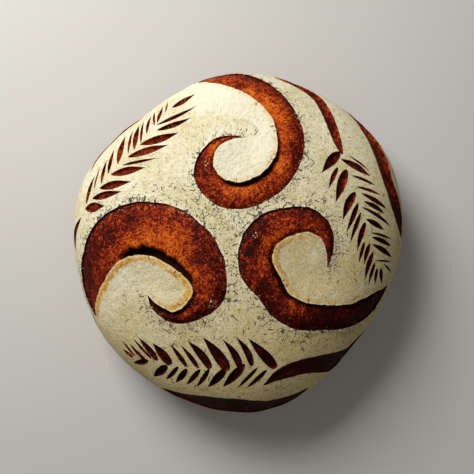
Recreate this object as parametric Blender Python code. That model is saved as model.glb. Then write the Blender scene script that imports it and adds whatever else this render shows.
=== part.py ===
"""A round sourdough loaf with floured crust, three spiral cuts and three cut ears of wheat.

The loaf is one closed solid. Its skin is a dome whose outline is slightly uneven. The baker's
cuts are laid out on the unrolled skin: a place (u, v) in millimetres lies at that distance from
the crown, measured along the skin, with +u to the right and +v away from the viewer. Under each
spiral cut the dough opened into a broad browned channel, and the flap on the inner side of the
curve lifted into a free lip.
"""

import math

import bmesh
import bpy
import numpy as np
from mathutils import Vector

MM = 0.001

# Driving sizes of the loaf, in millimetres
RADIUS = 115.0
HEIGHT = 94.0
WIDEST_AT = 36.0
BASE_RADIUS = 86.0
CROWN_POWER = 2.2
BELLY_TURN = math.radians(50.0)

# How the outline departs from a circle: waves round it, height in mm, direction of a crest in degrees
OUTLINE_WAVES = ((2, 3.4, 57.0), (3, 2.3, 37.0), (4, 1.6, 2.0), (5, 0.8, 13.0), (6, 1.0, 37.0))

# Share of the skin's triangles spent on crown, belly and base, per millimetre
CROWN_SHARE = 1.0
BELLY_SHARE = 0.7
BASE_SHARE = 0.3
SKIN_SUBDIVISIONS = 5
MERIDIAN_STEPS = 240
NORMAL_STEP = 0.5

# The spiral cuts, from tail to tip: each station is a place on the lip (u, v), the opening there and
# the depth of the crevice under the lip
SPIRALS = {
    "top": (
        (-44, 128, 0, 0), (-27, 113, 20, 1.5), (-6, 98, 24, 2), (8, 88, 22, 2), (20, 74, 19, 2),
        (24, 58, 18, 2), (22, 45, 16, 3), (14, 35, 16, 3.5), (1, 29, 16, 3), (-10, 33, 16, 2),
        (-16, 42, 14, 1.5), (-13, 53, 8, 1), (-4, 58, 3, 1), (4, 59, 0, 0),
    ),
    "left": (
        (-105, -60, 0, 0), (-101, -49, 17, 0.5), (-95, -39, 25, 0.5), (-86, -28, 29, 1), (-76, -20, 33, 7),
        (-61, -15, 34, 7.5), (-46, -19, 34, 5.5), (-34, -27, 30, 4), (-29, -37, 20, 3), (-32, -45, 12, 2),
        (-41, -49, 8, 5), (-51, -47, 4, 5), (-58, -40, 0, 0),
    ),
    "right": (
        (116, -38, 0, 0), (104, -41, 13, 3), (91, -45, 19, 4), (76, -49, 19, 3), (60, -49, 18, 2),
        (45, -47, 18, 2), (33, -41, 17, 3), (27, -31, 18, 3), (22, -20, 22, 2), (24, -10, 22, 1),
        (32, -4, 19, 1), (43, -1, 15, 1), (52, -5, 10, 1), (57, -14, 5, 1), (59, -25, 0, 0),
    ),
}
# Sections of a spiral cut, and the closer stations at which its lifted flap is worked out
SPIRAL_STATIONS = 30
LIP_STATIONS = 160
# The floor of a spiral cut: it sinks, swells in the middle, steps down at its far edge and falls into a
# crevice under the lip. The shares are places across the opening, from the far edge to the lip
BLOOM_SINK = 0.5
BLOOM_BULGE = 1.4
EDGE_DROP = 1.0
EDGE_WIDTH = 3.0
CREVICE_WIDTH = 4.4
CREVICE_NARROWEST = 0.35
DEEPEST_CREVICE = 7.5
FLOOR_SHARES = (1.0, 0.85, 0.5, 0.22, 0.07)
# The flap: how far it rises, how thick its lip is, how far the cut runs under it, how wide the raised band
# is, and from where to where along the cut it rises from the tail. A cut has its full effect at FULL_OPENING
LIP_LIFT = 3.6
LIP_THICKNESS = 1.8
LIP_UNDERCUT = 3.0
LIP_FADE = 24.0
LIP_SOFTNESS = 4.0
OPEN_FADE_FROM = 0.45
RISE_FROM = 5.0
RISE_TO = 55.0
FULL_OPENING = 12.0
STRENGTH_POWER = 0.7

# Plain slashes: stations of place (u, v) and width along the middle of each
SLASHES = {
    "left_stem": ((-111, 13, 0), (-118, 7, 5), (-124, 1, 8), (-128, -5, 9), (-131, -11, 7), (-133, -16, 0)),
    "right_stem": (
        (26, 124, 0), (33, 118, 5), (40, 113, 6), (47, 109, 9), (53, 104, 10), (57, 97, 9.5), (59, 89, 8.5),
        (61, 80, 8), (62.5, 70, 7.5), (64, 60, 6), (65.5, 53, 3.5), (66.5, 49, 0),
    ),
    "front_stem": (
        (15, -98, 0), (20, -94.5, 4), (25, -91.5, 8), (32, -90, 10.5), (43, -89.5, 11.5), (54, -91, 13),
        (65, -93.5, 17), (75, -96, 20), (85, -95, 18), (93, -90, 14), (100, -84, 10), (107, -76, 0),
    ),
    "left_rim": (
        (-113, 50, 0), (-113, 60, 5), (-110, 68, 6), (-104, 77, 6), (-98, 84, 6), (-91, 91, 5), (-84, 97, 4),
        (-77, 103, 0),
    ),
    "right_rim": (
        (80, 103, 0), (85, 92, 6), (90, 83, 10), (93, 76, 14), (97, 68, 16), (99, 60, 16), (101, 50, 15),
        (103, 40, 12.5), (107, 31, 12.5), (112, 23, 14), (117, 15, 13), (122, 7, 11), (127, -2, 0),
    ),
    "front_rim": (
        (-59, -113, 0), (-51, -116, 8), (-41, -117.5, 12), (-30, -119, 18), (-20, -119.5, 21),
        (-10, -119, 21), (0, -119, 21), (10, -121, 21), (20, -122.5, 20), (32, -121, 17),
        (41, -118.5, 13), (48, -115, 6), (53, -112, 0),
    ),
}

SLASH_STATIONS = 14
SLASH_DEPTH = 2.6
NARROWEST_CUT = 0.6
# Across a slash, as shares of its half width and its depth, from one edge over the floor to the other
SLASH_FLOOR = ((1.0, 0.3), (0.2, 1.0), (-0.6, 0.7))

# Ears of wheat, each with two rows of leaf cuts: how far along its length a leaf is fullest, how far it
# bows to its left as a share of its length, how pointed it is at its foot and at its tip, and for each
# leaf the places (u, v) of its foot and its tip and its width
EARS = {
    "left": {
        "inner": {"fullest": 0.42, "bow": 0.03, "foot": 0.9, "tip": 1.25, "leaves": (
            (-105, 19, -90, 18, 6), (-99, 26, -77, 27, 6.5), (-93, 31, -71, 33, 6.5),
            (-85, 41, -63, 43, 7), (-78, 47, -58, 50, 3), (-75, 53, -50, 60, 6.5),
            (-68, 63, -43, 69, 7.5), (-57, 75, -36, 78, 5), (-58, 80, -33, 87, 4), (-48, 94, -32, 100, 6))},
        "outer": {"fullest": 0.45, "bow": 0.03, "foot": 0.9, "tip": 1.1, "leaves": (
            (-105, 23, -102, 41, 3.5), (-99, 32, -99, 45, 1), (-93, 35, -94, 48, 3.5),
            (-88, 42, -88, 63, 3), (-83, 49, -84, 72, 5), (-77, 57, -79, 74, 2),
            (-73, 60, -75, 80, 4.5), (-69, 65, -72, 81, 1.5), (-66, 74, -67, 87, 2.5),
            (-61, 80, -64, 91, 2), (-59, 83, -58, 95, 3), (-54, 92, -54, 97, 1))},
    },
    "right": {
        "inner": {"fullest": 0.32, "bow": 0.03, "foot": 0.65, "tip": 1.35, "leaves": (
            (64, 51, 52, 37, 6), (62, 40, 56, 27, 3), (68, 39, 61, 19, 6), (74, 25, 67, 8, 5.5),
            (76, 18, 70, 1, 4), (79, 12, 74, -6, 3), (83, 6, 80, -11, 4.5), (86, -6, 82, -19, 3),
            (88, -8, 86, -21, 4), (92, -14, 88, -30, 4), (95, -21, 92, -34, 3), (98, -25, 98, -34, 3),
            (102, -25, 106, -35, 3.5))},
        "outer": {"fullest": 0.48, "bow": 0.02, "foot": 0.8, "tip": 0.95, "leaves": (
            (72, 49, 84, 42, 1), (66, 46, 85, 38, 4.5), (74, 36, 88, 32, 2), (78, 29, 93, 26, 2),
            (80, 25, 99, 18, 3.5), (82, 20, 98, 14, 3.5), (81, 16, 103, 7, 2.5), (85, 8, 99, 3, 3.5),
            (91, 0, 107, -3, 1), (90, -3, 108, -8, 3.5), (92, -8, 111, -15, 3.5),
            (98, -20, 111, -20, 0.5), (106, -22, 115, -26, 1))},
    },
    "front": {
        "inner": {"fullest": 0.34, "bow": -0.09, "foot": 0.5, "tip": 1.0, "leaves": (
            (23, -85, 7, -66, 6.5), (8, -82, -1, -65, 4.5), (1, -84, -9, -67, 5),
            (-7, -85, -21, -67, 7.5), (-18, -85, -31, -70, 6), (-26, -86, -36, -73, 3.5),
            (-34, -86, -43, -73, 3.5), (-45, -86, -55, -73, 7.5), (-54, -84, -64, -70, 6),
            (-59, -83, -69, -71, 2.5), (-63, -87, -73, -75, 3), (-72, -83, -78, -75, 2.5),
            (-74, -85, -81, -81, 4))},
        "outer": {"fullest": 0.42, "bow": 0.01, "foot": 0.6, "tip": 0.9, "leaves": (
            (17, -87, 6, -98, 3), (11, -85, 0, -98, 2.5), (3, -82, -9, -97, 6), (-8, -85, -19, -99, 5),
            (-19, -87, -27, -100, 3), (-25, -88, -34, -100, 3.5), (-34, -89, -42, -100, 4),
            (-40, -88, -49, -99, 3), (-48, -88, -59, -99, 5.5), (-62, -86, -74, -91, 4.5))},
    },
}
LEAF_DEPTH = 1.6
LEAF_SIDES = 6
LEAF_HALF_WIDTH = 0.52
LEAF_FLOOR_SHARE = 0.8

ABOVE_SKIN = 6.0

FLOUR_COLOUR = (0.72, 0.65, 0.47, 1.0)
BROWN_COLOUR = (0.28, 0.06, 0.015, 1.0)


def clear_scene():
    for obj in list(bpy.data.objects):
        bpy.data.objects.remove(obj, do_unlink=True)


def principled(name, colour, roughness):
    material = bpy.data.materials.new(name)
    material.use_nodes = True
    shader = material.node_tree.nodes["Principled BSDF"]
    shader.inputs["Base Color"].default_value = colour
    shader.inputs["Roughness"].default_value = roughness
    shader.inputs["Metallic"].default_value = 0.0
    material.diffuse_color = colour
    return material


def smoothstep(low, high, value):
    t = min(max((value - low) / (high - low), 0.0), 1.0)
    return t * t * (3.0 - 2.0 * t)


def meridian():
    """Points (distance from the axis, height) from crown to base, their arc lengths and the rim's."""
    points = []
    for i in range(MERIDIAN_STEPS + 1):
        angle = math.pi / 2 * i / MERIDIAN_STEPS
        out = RADIUS * math.sin(angle) ** (2 / CROWN_POWER)
        up = WIDEST_AT + (HEIGHT - WIDEST_AT) * max(math.cos(angle), 0.0) ** (2 / CROWN_POWER)
        points.append((out, up))
    rim = len(points) - 1
    for i in range(1, MERIDIAN_STEPS // 2 + 1):
        angle = BELLY_TURN * i / (MERIDIAN_STEPS // 2)
        inward = (1.0 - math.cos(angle)) / (1.0 - math.cos(BELLY_TURN))
        out = RADIUS - (RADIUS - BASE_RADIUS) * inward
        up = WIDEST_AT * (1.0 - math.sin(angle) / math.sin(BELLY_TURN))
        points.append((out, up))
    lengths = [0.0]
    for (x0, z0), (x1, z1) in zip(points, points[1:]):
        lengths.append(lengths[-1] + math.hypot(x1 - x0, z1 - z0))
    return points, lengths, lengths[rim]


MERIDIAN, ARC, RIM_ARC = meridian()


def on_meridian(arc):
    """The place (distance from the axis, height) at this arc length from the crown."""
    low, high = 0, len(ARC) - 1
    while high - low > 1:
        middle = (low + high) // 2
        if ARC[middle] <= arc:
            low = middle
        else:
            high = middle
    share = min(max((arc - ARC[low]) / (ARC[high] - ARC[low]), 0.0), 1.0)
    (x0, z0), (x1, z1) = MERIDIAN[low], MERIDIAN[high]
    return x0 + (x1 - x0) * share, z0 + (z1 - z0) * share


def outline_factor(direction):
    waves = sum(height * math.cos(count * (direction - math.radians(crest)))
                for count, height, crest in OUTLINE_WAVES)
    return 1.0 + waves / RADIUS


def skin_point(u, v):
    """The place in space, in mm, of the point (u, v) of the unrolled skin."""
    direction = math.atan2(v, u)
    out, up = on_meridian(math.hypot(u, v))
    out *= outline_factor(direction)
    return Vector((out * math.cos(direction), out * math.sin(direction), up))


def skin_normal(u, v):
    along_u = skin_point(u + NORMAL_STEP, v) - skin_point(u - NORMAL_STEP, v)
    along_v = skin_point(u, v + NORMAL_STEP) - skin_point(u, v - NORMAL_STEP)
    return along_u.cross(along_v).normalized()


def raised(u, v, height):
    return skin_point(u, v) + skin_normal(u, v) * height


def through(stations, count):
    """This many stations on a smooth curve through the given ones, evenly spaced by their number."""
    last = len(stations) - 1
    found = []
    for i in range(count):
        place = last * i / (count - 1)
        k = min(int(place), last - 1)
        t = place - k
        around = [stations[min(max(j, 0), last)] for j in (k - 1, k, k + 1, k + 2)]
        found.append(tuple(
            b + 0.5 * t * (c - a + t * (2 * a - 5 * b + 4 * c - d + t * (3 * b - a - 3 * c + d)))
            for a, b, c, d in zip(*around)
        ))
    return found


def normals_along(places, side):
    """Unit normals of a path on the unrolled skin. Side 1 is to the right of the way along it."""
    found = []
    for i in range(len(places)):
        before, after = places[max(i - 1, 0)], places[min(i + 1, len(places) - 1)]
        du, dv = after[0] - before[0], after[1] - before[1]
        length = math.hypot(du, dv)
        found.append((side * dv / length, -side * du / length))
    return found


def spiral_lip(stations, count):
    """The lip's places, the way out from it, the opening, the crevice and the rise, at each station."""
    path = through(stations, count)
    openings = [max(station[2], 0.0) for station in path]
    crevices = [max(station[3], 0.0) for station in path]
    rises, along = [], 0.0
    for i, (u, v, *_) in enumerate(path):
        if i:
            along += math.hypot(u - path[i - 1][0], v - path[i - 1][1])
        rises.append(lip_strength(openings[i]) * smoothstep(RISE_FROM, RISE_TO, along))
    return path, normals_along(path, -1), openings, crevices, rises


def lip_strength(opening):
    return min(opening / FULL_OPENING, 1.0) ** STRENGTH_POWER


def bloom_height(share, opening, crevice, rise):
    """The height of the browned channel's floor over the skin, at this share of the way out from the lip."""
    edge = math.exp(-((1.0 - share) * opening / EDGE_WIDTH) ** 2)
    reach = CREVICE_WIDTH * (CREVICE_NARROWEST + (1.0 - CREVICE_NARROWEST) * crevice / DEEPEST_CREVICE)
    gap = math.exp(-(share * opening / reach) ** 2)
    bulge = BLOOM_BULGE * math.sin(math.pi * share) * rise
    return bulge - (BLOOM_SINK + EDGE_DROP * edge) * lip_strength(opening) - crevice * gap


def flap_lift(places, lips):
    """How far the skin rises at each place (u, v), in mm, where a flap lifts along a lip near there."""
    lift = np.zeros(len(places))
    for path, outward, openings, _, rises in lips:
        lip, outward, openings, rises = (np.array(items) for items in (path, outward, openings, rises))
        gap = places[:, None] - lip[None, :, :2]
        nearest = np.argmin((gap ** 2).sum(-1), 1)
        gap = gap[np.arange(len(places)), nearest]
        away = np.hypot(gap[:, 0], gap[:, 1])
        opening = np.maximum(openings[nearest], NARROWEST_CUT)
        closed = (away / opening - OPEN_FADE_FROM) / (1.0 - OPEN_FADE_FROM)
        closed = closed.clip(0.0, 1.0)
        over_opening = 1.0 - closed * closed * (3.0 - 2.0 * closed)
        over_flap = (1.0 - away / LIP_FADE).clip(0.0) ** 2
        open_side = (gap * outward[nearest]).sum(-1) > 0
        lift = np.maximum(lift, LIP_LIFT * rises[nearest] * np.where(open_side, over_opening, over_flap))
    return lift


def soft_lift(u, v, lips):
    """The flaps' lift at (u, v), evened out over its surroundings so that a flap has no crease."""
    turns = np.arange(8) * math.pi / 4
    around = LIP_SOFTNESS * np.stack([np.cos(turns), np.sin(turns)], 1)
    places = np.array([u, v]) + np.concatenate([[[0.0, 0.0]], around])
    return float(flap_lift(places, lips).mean())


def place_on_solid(direction, lips):
    """Moves a point of the unit sphere to the skin or the flat base."""
    polar = math.acos(min(max(direction.z, -1.0), 1.0))
    azimuth = math.atan2(direction.y, direction.x)
    crown, belly, base = RIM_ARC * CROWN_SHARE, (ARC[-1] - RIM_ARC) * BELLY_SHARE, BASE_RADIUS * BASE_SHARE
    along = polar / math.pi * (crown + belly + base)
    if along > crown + belly:
        out = BASE_RADIUS * max(1.0 - (along - crown - belly) / base, 0.0) * outline_factor(azimuth)
        return Vector((out * math.cos(azimuth), out * math.sin(azimuth), 0.0))
    arc = along / CROWN_SHARE if along < crown else RIM_ARC + (along - crown) / BELLY_SHARE
    u, v = arc * math.cos(azimuth), arc * math.sin(azimuth)
    if arc > RIM_ARC:
        return skin_point(u, v)
    return raised(u, v, soft_lift(u, v, lips))


def new_object(name, bm, material):
    bmesh.ops.recalc_face_normals(bm, faces=bm.faces)
    bmesh.ops.scale(bm, vec=(MM, MM, MM), verts=bm.verts)
    mesh = bpy.data.meshes.new(name)
    bm.to_mesh(mesh)
    bm.free()
    mesh.materials.append(material)
    obj = bpy.data.objects.new(name, mesh)
    bpy.context.scene.collection.objects.link(obj)
    return obj


def loft(sections):
    """A closed shape through equal rings of points, each ring extruded from the one before it."""
    bm = bmesh.new()
    ring = bmesh.ops.create_circle(bm, cap_ends=True, segments=len(sections[0]), radius=1.0)["verts"]
    for vert, place in zip(ring, sections[0]):
        vert.co = place
    edges = [edge for edge in bm.edges if edge.is_boundary or len(edge.link_faces) == 1]
    for section in sections[1:]:
        made = bmesh.ops.extrude_edge_only(bm, edges=edges)["geom"]
        edges = [item for item in made if isinstance(item, bmesh.types.BMEdge)]
        fresh = {item for item in made if isinstance(item, bmesh.types.BMVert)}
        ring = [next(edge.other_vert(vert) for edge in vert.link_edges if edge.other_vert(vert) in fresh)
                for vert in ring]
        for vert, place in zip(ring, section):
            vert.co = place
    bmesh.ops.contextual_create(bm, geom=edges)
    return bm


def spiral_cutter(name, stations, material):
    """The opening of a spiral cut: a crevice under the lip, then a broad floor that rises to the far edge."""
    sections = []
    for (u, v, *_), (nu, nv), opening, crevice, rise in zip(*spiral_lip(stations, SPIRAL_STATIONS)):
        opening = max(opening, NARROWEST_CUT)
        profile = [(-LIP_UNDERCUT * rise, bloom_height(0.0, opening, crevice, rise)),
                   (0.0, (LIP_LIFT - LIP_THICKNESS) * rise), (0.0, ABOVE_SKIN), (opening, ABOVE_SKIN)]
        profile += [(opening * share, bloom_height(share, opening, crevice, rise)) for share in FLOOR_SHARES]
        sections.append([raised(u + nu * across, v + nv * across, height) for across, height in profile])
    return new_object(name, loft(sections), material)


def slash_cutter(name, stations, material):
    path = through(stations, SLASH_STATIONS)
    widest = max(width for _, _, width in stations)
    sections = []
    for (u, v, width), (nu, nv) in zip(path, normals_along(path, 1)):
        half = max(width, NARROWEST_CUT) / 2
        depth = SLASH_DEPTH * min(2 * half / widest, 1.0) ** STRENGTH_POWER
        profile = [(-half, ABOVE_SKIN), (half, ABOVE_SKIN)]
        profile += [(half * share, -depth * low) for share, low in SLASH_FLOOR]
        sections.append([raised(u + nu * across, v + nv * across, height) for across, height in profile])
    return new_object(name, loft(sections), material)


def leaf_cutter(name, leaf, row, material):
    """A leaf-shaped cut with a full middle and a drawn-out tip."""
    foot, tip, width = Vector(leaf[:2]), Vector(leaf[2:4]), leaf[4]
    length, way = (tip - foot).length, (tip - foot).normalized()
    side = Vector((-way.y, way.x))
    swelling = math.log(0.5) / math.log(row["fullest"])
    outline = []
    for i in range(LEAF_SIDES):
        turn = 2 * math.pi * i / LEAF_SIDES
        along = 0.5 - 0.5 * math.cos(turn)
        pointed = row["foot"] + (row["tip"] - row["foot"]) * along
        fullness = max(math.sin(math.pi * along ** swelling), 0.0) ** pointed
        across = LEAF_HALF_WIDTH * width * fullness * (1 if math.sin(turn) > 0 else -1)
        outline.append((along * length, across, row["bow"] * length * math.sin(math.pi * along)))

    def ring(height, narrowing):
        middle = row["fullest"] * length
        places = [foot + way * (middle + (along - middle) * narrowing) + side * (bow + across * narrowing)
                  for along, across, bow in outline]
        return [raised(place.x, place.y, height) for place in places]

    return new_object(name, loft([ring(-LEAF_DEPTH, LEAF_FLOOR_SHARE), ring(ABOVE_SKIN, 1.0)]), material)


def ear_cutters(name, ear, material):
    """The leaf cuts of one ear of wheat, in two rows that lean towards its top."""
    return [leaf_cutter(f"{name}_{side}_{i}", leaf, row, material)
            for side, row in ear.items() for i, leaf in enumerate(row["leaves"])]


def build_loaf():
    flour = principled("floured_crust", FLOUR_COLOUR, 0.9)
    brown = principled("browned_crust", BROWN_COLOUR, 0.55)
    lips = [spiral_lip(stations, LIP_STATIONS) for stations in SPIRALS.values()]

    bm = bmesh.new()
    bmesh.ops.create_icosphere(bm, subdivisions=SKIN_SUBDIVISIONS, radius=1.0)
    for vert in bm.verts:
        vert.co = place_on_solid(vert.co.normalized(), lips)
    loaf = new_object("loaf", bm, flour)

    cutters = [spiral_cutter(f"cut_{name}_spiral", stations, brown) for name, stations in SPIRALS.items()]
    cutters += [slash_cutter(f"cut_{name}", stations, brown) for name, stations in SLASHES.items()]
    for name, ear in EARS.items():
        cutters += ear_cutters(f"cut_{name}_ear", ear, brown)
    cuts = bpy.data.collections.new("cuts")
    bpy.context.scene.collection.children.link(cuts)
    for cutter in cutters:
        bpy.context.scene.collection.objects.unlink(cutter)
        cuts.objects.link(cutter)
        cutter.hide_render = True
        cutter.display_type = "WIRE"

    boolean = loaf.modifiers.new("cuts", "BOOLEAN")
    boolean.operand_type = "COLLECTION"
    boolean.collection = cuts
    boolean.operation = "DIFFERENCE"
    boolean.solver = "EXACT"
    boolean.material_mode = "TRANSFER"
    loaf.data.shade_smooth()
    return loaf


clear_scene()
build_loaf()
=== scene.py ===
"""The looks of a round sourdough loaf: floured crust, spiral cuts with lifted lips, cut ears of wheat.

The cuts are laid out on the unrolled skin. A place (u, v) in millimetres lies at that distance from the
crown, measured along the skin, with +u to the right and +v away from the viewer.
"""

import math

import bmesh
import bpy
import numpy as np
from bpy.props import FloatProperty, FloatVectorProperty, PointerProperty
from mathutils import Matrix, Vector, noise


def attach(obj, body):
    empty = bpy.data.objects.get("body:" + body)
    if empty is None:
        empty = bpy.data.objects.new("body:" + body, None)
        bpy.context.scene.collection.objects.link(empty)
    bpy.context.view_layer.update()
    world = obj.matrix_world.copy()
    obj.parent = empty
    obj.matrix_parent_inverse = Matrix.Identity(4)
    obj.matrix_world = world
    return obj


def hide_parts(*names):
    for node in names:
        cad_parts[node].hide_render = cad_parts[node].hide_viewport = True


bl_info = {
    "name": "Sourdough loaf",
    "version": (1, 0, 0),
    "blender": (4, 5, 0),
    "location": "3D View > Sidebar > Loaf",
    "description": "Models and finishes a round floured loaf with spiral cuts and ears of wheat",
    "category": "Object",
}

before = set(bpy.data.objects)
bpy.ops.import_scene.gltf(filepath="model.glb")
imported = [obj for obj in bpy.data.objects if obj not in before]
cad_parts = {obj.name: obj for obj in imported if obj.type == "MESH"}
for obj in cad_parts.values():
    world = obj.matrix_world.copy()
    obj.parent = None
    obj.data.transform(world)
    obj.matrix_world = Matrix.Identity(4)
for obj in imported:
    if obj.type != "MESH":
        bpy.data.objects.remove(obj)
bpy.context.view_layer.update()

MM = 0.001

# How the outline departs from a circle: waves round it, height in mm, direction of a crest in degrees
OUTLINE_WAVES = ((2, 3.4, 57.0), (3, 2.3, 37.0), (4, 1.6, 2.0), (5, 0.8, 13.0), (6, 1.0, 37.0))

# The spiral cuts, from tail to tip: each station is a place on the lip (u, v), the opening there and
# the depth of the crevice under the lip, all in mm
SPIRALS = {
    "top": (
        (-44, 128, 0, 0), (-27, 113, 20, 1.5), (-6, 98, 24, 2), (8, 88, 22, 2), (20, 74, 19, 2),
        (24, 58, 18, 2), (22, 45, 16, 2.2), (14, 35, 16, 2.6), (1, 29, 16, 2.2), (-10, 33, 16, 1.5),
        (-16, 42, 14, 1.5), (-13, 53, 8, 1), (-4, 58, 3, 1), (4, 59, 0, 0),
    ),
    "left": (
        (-105, -60, 0, 0), (-101, -49, 17, 0.5), (-95, -39, 25, 0.5), (-87, -29, 29, 0),
        (-79, -20.5, 32, 0), (-71, -16.5, 33.5, 7), (-62, -15, 34, 7.5), (-52, -16.7, 34, 6.5),
        (-43, -21.5, 33, 5.5), (-35, -26.5, 30, 4), (-29.5, -32, 25, 2.5), (-28, -38, 19, 0),
        (-33, -46, 12, 1), (-40, -49.7, 8, 4), (-46, -48, 6.5, 5), (-52, -45, 4.5, 5), (-58, -40, 0, 0),
    ),
    "right": (
        (116, -38, 0, 0), (104, -41, 13, 3), (91, -45, 19, 4), (76, -49, 19, 3), (60, -49, 18, 2),
        (45, -47, 18, 2), (33, -41, 17, 3), (27, -31, 18, 3), (22, -20, 22, 2), (24, -10, 22, 1),
        (32, -4, 19, 1), (43, -1, 15, 1), (52, -5, 10, 1), (57, -14, 5, 1), (59, -25, 0, 0),
    ),
}
# How golden each flap's lip has baked, and how dark each cut's floor is, at even steps from its tail to its
# tip; the floors' darkness is partly real baking and partly painted shade, most on the right cut, away from
# the light
LIP_GOLD = {
    "top": (0.1, 0.1, 0.2, 0.35, 0.4, 0.35, 0.2, 0.1),
    "left": (1.0, 1.2, 1.2, 0.9, 0.85, 1.1, 1.2, 0.6),
    "right": (0.4, 0.3, 0.3, 0.45, 0.7, 0.8, 0.5, 0.2),
}
FLOOR_BROWNING_AND_SHADE = {
    "top": (0.65, 0.6, 0.6, 0.5, 0.45, 0.6, 0.75, 0.55),
    "left": (1.5, 1.3, 1.1, 0.6, 0.55, 0.95, 1.25, 1.35),
    "right": (2.3, 2.2, 2.0, 1.6, 1.15, 0.8, 0.95, 1.1),
}
# Patches that have baked darker or, where the amount is negative, paler: place (u, v), radius in mm and
# amount
BAKED = (
    (0, 99, 5, 0.5), (12, 110, 9, 0.3), (8, 93, 5, -0.45), (23, 83, 7, -0.4), (29, 75, 6, -0.45),
    (36, 66, 6, 0.3), (35, 50, 8, 0.35), (18, 37, 5, 0.6), (-13, 54, 6, -0.5), (-24, 39, 7, 0.4),
    (3, 23, 6, -0.3), (-67, 8, 7, 0.7), (-84, -3, 8, 0.7), (-90, 4, 5, -0.4), (-73, -9, 5, -0.5),
    (-46, -7, 12, -0.45), (-23, -17, 7, 0.6), (-29, -26, 5, -0.6), (7, -13, 2.6, 2.6), (12, -7, 2.2, 2.2),
    (12, 1, 6, 0.6), (16, -6, 4, -0.7), (27, 6, 6, -0.3), (56, -12, 7, 0.5), (10, -28, 6, -0.35),
    (16, -35, 5, 0.5), (34, -50, 6, -0.5), (42, -59, 5, -0.4), (75, -58, 7, -0.4), (-76, 52, 38, -0.35),
    (98, 58, 28, -0.5),
)
# Places (u, v) on the cuts' floors with painted highlights, pale glints, and their radius in mm
GLINTS = ((-16, -45, 3.5), (10, -3, 3), (-22, 44, 3))
# Painted shade: the loaf is drawn with thinner flour, more cracks and darker cuts on the side that this
# direction points to, away from the window light
SHADED_SIDE = (0.45, -0.89, 0.0)

# Plain slashes: stations of place (u, v) and width along the middle of each
SLASHES = {
    "left_stem": ((-111, 13, 0), (-118, 7, 5), (-124, 1, 8), (-128, -5, 9), (-131, -11, 7), (-133, -16, 0)),
    "right_stem": (
        (26, 124, 0), (33, 118, 5), (40, 113, 6), (47, 109, 9), (53, 104, 10), (57, 97, 9.5), (59, 89, 8.5),
        (61, 80, 8), (62.5, 70, 7.5), (64, 60, 6), (65.5, 53, 3.5), (66.5, 49, 0),
    ),
    "front_stem": (
        (15, -98, 0), (20, -94.5, 4), (25, -91.5, 8), (32, -90, 10.5), (43, -89.5, 11.5), (54, -91, 13),
        (65, -93.5, 17), (75, -96, 20), (85, -95, 18), (93, -90, 14), (100, -84, 10), (107, -76, 0),
    ),
    "left_rim": (
        (-110, 46, 0), (-109, 57, 4.5), (-106, 64, 5.5), (-100, 73, 5.5), (-94, 80, 5.5), (-87.5, 87, 5),
        (-81, 93, 4), (-75, 100, 0),
    ),
    "right_rim": (
        (80, 103, 0), (85, 92, 6), (90, 83, 10), (93, 76, 14), (97, 68, 16), (99, 60, 16), (101, 50, 15),
        (103, 40, 12.5), (107, 31, 12.5), (112, 23, 14), (117, 15, 13), (122, 7, 11), (127, -2, 0),
    ),
    "front_rim": (
        (-59, -113, 0), (-51, -116, 8), (-41, -117.5, 12), (-30, -119, 18), (-20, -119.5, 21),
        (-10, -119, 21), (0, -119, 21), (10, -121, 21), (20, -122.5, 20), (32, -121, 17), (41, -118.5, 13),
        (48, -115, 6), (53, -112, 0),
    ),
}

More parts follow.
